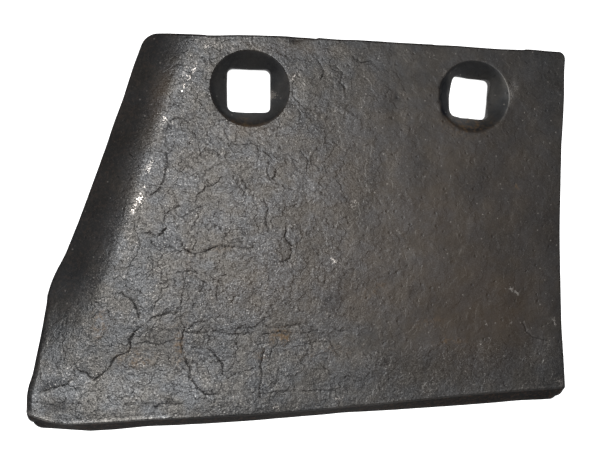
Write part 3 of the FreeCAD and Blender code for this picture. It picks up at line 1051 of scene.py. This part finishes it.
                # Beside a crack, and along a scuff or painted highlight line, uncovered steel is painted in:
                # partly wear, partly painted highlight.
                beside = 1 - abs(distance / kind.half_width - 2) if kind.dark else fall * 2
                vertex[rubbed] = clamp(beside) * kind.bare_and_highlight * clamp(0.5 + 1.4 * noise.noise(flat / 1.1))
            side = 1 - abs(vertex.normal.z)
            uneven = 0.5 * noise.noise(point / 7.0) + 0.25 * noise.noise(point / 1.8)
            depth += side * self.edge_uneven * uneven
            moves.append(vertex.normal * -depth)
        for vertex, move in zip(mesh.verts, moves):
            vertex.co += move

    def mark(self, mesh: bmesh.types.BMesh) -> None:
        """Paint the stains, the rub marks, the painted highlights and sheen, and the painted shade into
        vertex attributes.
        """
        layers = {kind: mesh.verts.layers.float[kind.value] for kind in PatchKind}
        placed = []
        for patch in PATCHES:
            centre = self.viewpoint.on_plane(patch.centre, self.form.thickness)
            edge = (patch.centre[0] + 1, patch.centre[1])
            pixel = (self.viewpoint.on_plane(edge, self.form.thickness) - centre).length
            half = (patch.half[0] * pixel, patch.half[1] * pixel)
            placed.append((patch, Dent((centre.x, centre.y), half, 1.0, -patch.turn_deg)))
        grit, dull_and_shade = mesh.verts.layers.float["grit"], mesh.verts.layers.float["dull_and_shade"]
        for vertex in mesh.verts:
            point = vertex.co
            vertex[grit] = self.grit_at(point, vertex.normal)
            vertex[dull_and_shade] = self.dull_and_shade_at(point, vertex.normal)
            if vertex.normal.z < 0.2:
                continue
            ragged = self.stray(point / 2.5) * self.stain_ragged
            shifted = Vector((point.x, point.y, 0)) + ragged
            in_seat = vertex.normal.z < 0.82 and vertex[dull_and_shade] == 0
            for patch, shape in placed:
                if in_seat == patch.in_seat or patch.kind in (RUST, SOOT):
                    vertex[layers[patch.kind]] += shape.at(shifted) * patch.strength
            # Painted highlight along the arris: raised gloss and uncovered steel, partly a worn edge.
            arris = self.arris_highlight_at(point)
            vertex[layers[BRIGHT]] += arris * self.arris_highlight_sheen
            vertex[layers[RUBBED]] += arris * self.arris_highlight_rub

    def arris_highlight_at(self, point: Vector) -> float:
        """Return the painted highlight along the arris above the bevel at a point: partly a worn edge, broken
        up by noise, and strongest at the front.
        """
        bevel = self.form.bottom + self.form.bevel_at(point.x - self.form.toe_across(point.y))
        line = clamp(1 - abs(point.y - bevel - self.arris_above) / self.arris_half)
        line *= blend(self.arris_faint, 1.0, clamp((self.arris_start - point.x) / self.arris_fade))
        patchy = clamp(0.8 + 0.7 * noise.noise(point / 3.0) + 0.3 * noise.noise(point / 0.9))
        return line * patchy

    def grit_at(self, point: Vector, normal: Vector) -> float:
        """Return how gritty the scale is: rough at the front and low down, smooth behind and on the lip."""
        ragged = noise.noise(point / 9.0) * 9.0
        smooth = ease((point.x + ragged + 5) / 66)
        low = clamp((-72 - point.y) / 9) * blend(1.0, 0.7, clamp(point.x / 90))
        turned = clamp((0.985 - normal.z) / 0.06)
        return max(1 - 0.8 * smooth, 0.8 * low) * (1 - 0.9 * turned)

    def dull_and_shade_at(self, point: Vector, normal: Vector) -> float:
        """Return how matt and dark the surface is: the bevel and the outline's edges are matt, the tilted lip
        partly; partly a cut edge, partly painted shade.
        """
        if min(math.hypot(point.x - hole.across, point.y) for hole in self.form.holes) < self.hole_clear:
            return 0.0
        steep = clamp((0.85 - normal.z) / 0.12)
        return max(steep, 0.35 * clamp((0.985 - normal.z) / 0.07))

    def build(self, place: Matrix) -> bpy.types.Object:
        """Make the finished object in the row frame."""
        mesh = self.slab()
        self.shape(mesh)
        tree = self.refine_cracks(mesh)
        for name in ("groove", "grit", "dull_and_shade", *(kind.value for kind in PatchKind)):
            mesh.verts.layers.float.new(name)
        self.carve(mesh, tree)
        self.mark(mesh)
        for face in mesh.faces:
            face.smooth = True
        mesh.transform(place)
        # The lip's back edge is worn flat where it would reach under the floor, just clear of it.
        for vertex in mesh.verts:
            vertex.co.z = max(vertex.co.z, self.form.floor_gap_m)
        bmesh.ops.recalc_face_normals(mesh, faces=mesh.faces[:])
        data = bpy.data.meshes.new("share")
        mesh.to_mesh(data)
        mesh.free()
        share = bpy.data.objects.new("share", data)
        bpy.context.scene.collection.objects.link(share)
        return share


class Nodes:
    """A node tree, with one way to add a node and one to calculate."""

    def __init__(self, tree: bpy.types.NodeTree) -> None:
        """Empty the tree."""
        self.tree = tree
        tree.nodes.clear()

    def add(self, kind: str, settings: dict | None = None, links: dict | None = None) -> bpy.types.Node:
        """Add a node, set it and link it.

        Args:
            kind: The node's Blender type.
            settings: Values by property name, or by input name or number.
            links: Output sockets by input name or number.

        Returns:
            The new node.
        """
        node = self.tree.nodes.new(kind)
        for name, value in (settings or {}).items():
            if isinstance(name, str) and hasattr(node, name) and name not in node.inputs:
                setattr(node, name, value)
            else:
                node.inputs[name].default_value = value
        for name, socket in (links or {}).items():
            self.tree.links.new(socket, node.inputs[name])
        return node

    def calc(self, operation: str, *values) -> Socket:
        """Return the result of a math node on sockets or numbers."""
        settings, links = {"operation": operation}, {}
        for number, value in enumerate(values):
            (links if isinstance(value, Socket) else settings)[number] = value
        return self.add("ShaderNodeMath", settings, links).outputs[0]


@dataclass(frozen=True)
class ScaledSteel:
    """Hot formed steel with mill scale.

    The scale is magnetite that grew in the furnace: nearly black in itself, and grey where its broad
    gloss catches the lamp. It is gritty at the front, where the grit sparkles, and smooth behind.
    """

    name: str = "hot_formed_steel_with_mill_scale"
    scale_dark: str = "161617"
    scale_light: str = "222121"
    haze: str = "2c2013"
    rust: str = "6e5638"
    soot: str = "0f1218"
    crack: str = "070606"
    bare_and_highlight: str = "b0aaa4"
    edge_dark: str = "0c0b0b"
    edge_light: str = "33241b"
    ior: float = 1.63
    roughness: float = 0.5
    grit_mm: float = 0.42
    speck_mm: float = 0.95
    flake_mm: float = 7.5
    lump_mm: float = 2.4
    mottle_mm: float = 11.0
    hue_mm: float = 8.0
    crack_mm: float = 6.5
    crack_waver_mm: float = 3.0
    pit_mm: float = 4.5
    warm: tuple[float, float, float, float] = (1.0, 0.96, 0.9, 1.0)
    cool: tuple[float, float, float, float] = (0.945, 0.97, 1.0, 1.0)

    def build(self) -> bpy.types.Material:
        """Return the material with its nodes."""
        material = bpy.data.materials.new(self.name)
        material.use_nodes = True
        nodes = Nodes(material.node_tree)
        add, calc = nodes.add, nodes.calc
        where = add("ShaderNodeTexCoord").outputs["Object"]
        place = add("ShaderNodeMapping", {"Scale": (1 / MM,) * 3}, {"Vector": where}).outputs["Vector"]

        def grain(size: float, detail: float = 3.0, rough: float = 0.6) -> Socket:
            """Return noise whose lumps have a size in millimetres."""
            settings = {"Scale": 1 / size, "Detail": detail, "Roughness": rough}
            return add("ShaderNodeTexNoise", settings, {"Vector": place}).outputs["Fac"]

        def ramp(value: Socket, low: float, high: float, out_low: float = 0.0,
                 out_high: float = 1.0) -> Socket:
            """Return the value stretched from one range to another, and held there."""
            settings = {"From Min": low, "From Max": high, "To Min": out_low, "To Max": out_high}
            return add("ShaderNodeMapRange", settings, {"Value": value}).outputs["Result"]

        def product(*values) -> Socket:
            """Return the product of sockets or numbers."""
            result = values[0]
            for value in values[1:]:
                result = calc("MULTIPLY", result, value)
            return result

        def without(value, strength: float) -> Socket:
            """Return 1 less a share of the value."""
            return calc("MULTIPLY_ADD", value, -strength, 1.0)

        def mix(share, first, second) -> Socket:
            """Return a colour mixed from two colours or sockets."""
            settings, links = {"data_type": "RGBA"}, {}
            for number, value in ((0, share), (6, first), (7, second)):
                (links if isinstance(value, Socket) else settings)[number] = value
            return add("ShaderNodeMix", settings, links).outputs[2]

        def attribute(name: str) -> Socket:
            """Return a painted attribute of the mesh."""
            return add("ShaderNodeAttribute", {"attribute_name": name}).outputs["Fac"]

        groove, rust, haze = attribute("groove"), attribute("rust"), attribute("haze")
        soot, rubbed, bright = attribute("soot"), attribute("rubbed"), attribute("bright")
        gritty, dull_and_shade = attribute("grit"), attribute("dull_and_shade")
        grit = grain(self.grit_mm, 2.0, 0.7)
        speck = grain(self.speck_mm, 3.0, 0.65)
        flake = grain(self.flake_mm, 3.0, 0.55)
        mottle = grain(self.mottle_mm, 4.0, 0.6)
        hue = grain(self.hue_mm, 4.0, 0.6)
        lump = grain(self.lump_mm, 3.0, 0.6)
        pits = add("ShaderNodeTexVoronoi", {"voronoi_dimensions": "2D", "Scale": 1 / self.pit_mm},
                   {"Vector": place})
        pit = product(ramp(pits.outputs["Distance"], 0.04, 0.13, 1.0, 0.0), ramp(lump, 0.48, 0.56))
        # Plateaus: the flake noise cut at a level leaves islands with crisp edges and a dark outline.
        plateau = ramp(flake, 0.485, 0.515)
        outline = ramp(calc("ABSOLUTE", calc("SUBTRACT", flake, 0.5)), 0.001, 0.004, 1.0, 0.0)
        outline = product(outline, gritty, ramp(mottle, 0.48, 0.56))
        groove = calc("MAXIMUM", groove, product(outline, 0.3))
        net = product(self.fine_cracks(add, place), gritty, ramp(mottle, 0.49, 0.56), 0.5)
        groove = calc("MAXIMUM", groove, net)
        shade = ramp(calc("ADD", mottle, speck), 0.8, 1.2)
        colour = mix(shade, srgb(self.scale_dark), srgb(self.scale_light))
        colour = mix(product(haze, ramp(mottle, 0.3, 0.6, 0.6, 1.0)), colour, srgb(self.haze))
        rusty = calc("MINIMUM", product(rust, ramp(speck, 0.4, 0.6), ramp(lump, 0.4, 0.6)), 0.9)
        colour = mix(rusty, colour, srgb(self.rust))
        soot_and_shade_share = calc("MINIMUM", calc("MULTIPLY_ADD", pit, 0.25, soot), 0.9)
        colour = mix(soot_and_shade_share, colour, srgb(self.soot))
        # Painted shade, partly a matt cut edge: steep faces and the tilted lip take the dark edge colour and
        # lose gloss.
        edge = mix(ramp(speck, 0.5, 0.62), srgb(self.edge_dark), srgb(self.edge_light))
        colour = mix(product(dull_and_shade, 0.75), colour, edge)
        colour = mix(groove, colour, srgb(self.crack))
        # Lightly worn scale and faint painted highlights show uncovered steel only on the grit; hard worn
        # scale and strong painted highlights show it all over.
        all_over = calc("MULTIPLY_ADD", rubbed, 0.5, -1.1)
        bare_and_highlight = calc("MAXIMUM", product(rubbed, ramp(grit, 0.48, 0.6)), all_over)
        bare_and_highlight = calc("MINIMUM", bare_and_highlight, 1.0)
        glint = product(gritty, ramp(grit, 0.6, 0.72), ramp(flake, 0.42, 0.58, 0.15, 0.6))
        chip = product(ramp(pits.outputs["Distance"], 0.03, 0.07, 0.35, 0.0), ramp(lump, 0.46, 0.42))
        bare_and_highlight = calc("MAXIMUM", bare_and_highlight, calc("MAXIMUM", glint, product(chip, without(dull_and_shade, 1.0))))
        colour = mix(bare_and_highlight, colour, srgb(self.bare_and_highlight))
        # The grit is finer in life. It is drawn coarse enough to show at the photograph's size.
        sheen = calc("MULTIPLY_ADD", ramp(grit, 0.4, 0.8, -0.45, 1.5), product(gritty, 0.85), 1.0)
        sheen = calc("MULTIPLY_ADD", calc("SUBTRACT", speck, 0.5), product(gritty, 1.7), sheen)
        sheen = calc("MULTIPLY_ADD", calc("SUBTRACT", mottle, 0.5), 0.8, sheen)
        sheen = product(sheen, 0.5, without(groove, 0.92), without(dull_and_shade, 0.965), without(soot_and_shade_share, 0.95))
        sheen = product(sheen, without(rusty, 0.6))
        # Painted highlight and sheen: the sheen patches and the arris raise the gloss.
        sheen = product(sheen, calc("MULTIPLY_ADD", bright, 0.45, 1.0))
        rough = calc("MULTIPLY_ADD", gritty, -0.02, self.roughness)
        rough = calc("MULTIPLY_ADD", bare_and_highlight, -0.1, rough)
        height = calc("ADD", product(grit, 0.05), product(speck, 0.08))
        height = calc("ADD", height, product(lump, 0.14))
        height = calc("ADD", height, product(plateau, 0.06))
        height = product(height, calc("MULTIPLY_ADD", gritty, 0.8, 0.2))
        height = calc("MULTIPLY_ADD", pit, -0.05, height)
        height = calc("MULTIPLY_ADD", groove, -0.03, height)
        bump = add("ShaderNodeBump", {"Strength": 1.0, "Distance": MM}, {"Height": height})
        tint = mix(ramp(hue, 0.4, 0.6), self.warm, self.cool)
        shader = add(
            "ShaderNodeBsdfPrincipled",
            {"IOR": self.ior},
            {"Base Color": colour, "Roughness": rough, "Metallic": bare_and_highlight, "Specular IOR Level": sheen,
             "Specular Tint": tint, "Normal": bump.outputs["Normal"]},
        )
        add("ShaderNodeOutputMaterial", links={"Surface": shader.outputs["BSDF"]})
        return material

    def fine_cracks(self, add, place: Socket) -> Socket:
        """Return 1 along a net of thin wandering cracks, too many to follow one by one.

        Args:
            add: Adds a node, as Nodes.add does.
            place: The place on the share in millimetres.
        """
        sway = add("ShaderNodeTexNoise", {"Scale": 1 / self.crack_waver_mm, "Detail": 3.0}, {"Vector": place})
        scaled = add("ShaderNodeVectorMath", {"operation": "SCALE", "Scale": self.crack_waver_mm * 1.4},
                     {0: sway.outputs["Color"]}).outputs[0]
        moved = add("ShaderNodeVectorMath", {"operation": "ADD"}, {0: place, 1: scaled}).outputs[0]
        net = add("ShaderNodeTexVoronoi", {"feature": "DISTANCE_TO_EDGE", "Scale": 1 / self.crack_mm},
                  {"Vector": moved}).outputs["Distance"]
        settings = {"From Min": 0.008, "From Max": 0.03, "To Min": 1.0, "To Max": 0.0}
        return add("ShaderNodeMapRange", settings, {"Value": net}).outputs["Result"]


@dataclass
class Studio:
    """The floor, the light and the camera."""

    viewpoint: Viewpoint
    place: Matrix
    floor_half: float = 1.5
    floor_grey: str = "d9d9d9"
    floor_glow: float = 0.92
    floor_sheen: float = 0.15
    lamp_place: Vector = field(default_factory=lambda: Vector((-137.0, -40.0, 992.0)))
    lamp_width: float = 0.22
    lamp_power: float = 9.6
    room_above: float = 0.05
    room_low: float = 0.07

    def floor(self) -> bpy.types.Object:
        """Make the pale floor that the share lies on."""
        mesh = bmesh.new()
        bmesh.ops.create_grid(mesh, x_segments=1, y_segments=1, size=self.floor_half)
        data = bpy.data.meshes.new("floor")
        mesh.to_mesh(data)
        mesh.free()
        material = bpy.data.materials.new("matt_pale_paper")
        material.use_nodes = True
        nodes = Nodes(material.node_tree)
        paper = nodes.add("ShaderNodeBsdfDiffuse", {"Color": srgb(self.floor_grey)})
        path = nodes.add("ShaderNodeLightPath").outputs
        seen = nodes.calc("MAXIMUM", path["Is Camera Ray"], path["Is Transmission Ray"])
        seen = nodes.calc("MULTIPLY", seen, self.floor_glow)
        mirrored = nodes.calc("MULTIPLY", path["Is Glossy Ray"], self.floor_sheen)
        strength = nodes.calc("MAXIMUM", seen, mirrored)
        glow = nodes.add("ShaderNodeEmission", {"Color": (1, 1, 1, 1)}, {"Strength": strength})
        both = nodes.add("ShaderNodeAddShader", links={0: paper.outputs[0], 1: glow.outputs[0]})
        nodes.add("ShaderNodeOutputMaterial", links={"Surface": both.outputs[0]})
        data.materials.append(material)
        floor = bpy.data.objects.new("floor", data)
        bpy.context.scene.collection.objects.link(floor)
        floor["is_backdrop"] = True
        return floor

    def world(self) -> None:
        """Light the room: dim above, paler low down, and white where the camera looks past the floor."""
        world = bpy.data.worlds.new("studio")
        bpy.context.scene.world = world
        world.use_nodes = True
        nodes = Nodes(world.node_tree)
        way = nodes.add("ShaderNodeTexCoord").outputs["Generated"]
        up = nodes.add("ShaderNodeSeparateXYZ", links={0: way}).outputs["Z"]
        room = nodes.add("ShaderNodeMapRange", {"From Min": 0.0, "From Max": 0.5, "To Min": self.room_low,
                                                "To Max": self.room_above}, {"Value": up}).outputs["Result"]
        path = nodes.add("ShaderNodeLightPath").outputs
        strength = nodes.add("ShaderNodeMix", {"data_type": "FLOAT", 3: 1.0},
                             {0: path["Is Camera Ray"], 2: room}).outputs[0]
        sky = nodes.add("ShaderNodeBackground", {"Color": (1, 1, 1, 1)}, {"Strength": strength})
        nodes.add("ShaderNodeOutputWorld", links={"Surface": sky.outputs[0]})

    def lamp(self) -> bpy.types.Object:
        """Hang one soft lamp just beside the camera, pointing straight at the plate."""
        data = bpy.data.lights.new("lamp", "AREA")
        data.shape = "DISK"
        data.size = self.lamp_width
        data.energy = self.lamp_power
        lamp = bpy.data.objects.new("lamp", data)
        turn = self.place.to_3x3().normalized().to_4x4()
        lamp.matrix_world = Matrix.Translation(self.place @ self.lamp_place) @ turn
        bpy.context.scene.collection.objects.link(lamp)
        return lamp

    def camera(self) -> bpy.types.Object:
        """Set the camera where the photograph was taken from."""
        data = bpy.data.cameras.new("camera")
        data.sensor_width = self.viewpoint.sensor_mm
        data.lens = self.viewpoint.focal_px * self.viewpoint.sensor_mm / FRAME_WIDTH
        data.shift_x = 0.5 - self.viewpoint.axis_px[0] / FRAME_WIDTH
        data.shift_y = (self.viewpoint.axis_px[1] - FRAME_HEIGHT / 2) / FRAME_WIDTH
        data.clip_start = 0.005
        camera = bpy.data.objects.new("camera", data)
        turn = Matrix(self.viewpoint.axes()).transposed()
        turn = (self.place.to_3x3().normalized() @ turn).to_4x4()
        camera.matrix_world = Matrix.Translation(self.place @ self.viewpoint.stand) @ turn
        bpy.context.scene.collection.objects.link(camera)
        bpy.context.scene.camera = camera
        return camera

    def build(self) -> None:
        """Set the whole studio up."""
        self.floor()
        self.world()
        self.lamp()
        self.camera()
        bpy.context.scene.view_settings.view_transform = "Standard"


def report(piece: bpy.types.Object) -> None:
    """Log a piece's name, size and number of triangles."""
    piece.data.calc_loop_triangles()
    size = [round(side / MM, 1) for side in piece.dimensions]
    LOG.info("%s: %s mm, %d triangles", piece.name, size, len(piece.data.loop_triangles))


def main() -> None:
    """Load the frame, build the share on it and set the studio round it."""
    logging.basicConfig(level=logging.INFO, format="%(name)s %(message)s")
    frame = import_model()
    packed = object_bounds()
    place = PlatePlace(frame["record"]["mounts"]).matrix()
    viewpoint = Viewpoint()
    share = Share(PlateForm(), viewpoint, FaceRelief()).build(place)
    share.data.materials.append(ScaledSteel().build())
    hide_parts(NODE)
    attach(share, BODY)
    report(share)
    Studio(viewpoint, place).build()
    measured = {"cad": packed, "dressed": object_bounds()}
    boxes = {name: [list(corner) for corner in box] for name, box in measured.items()}


if __name__ == "__main__":
    main()
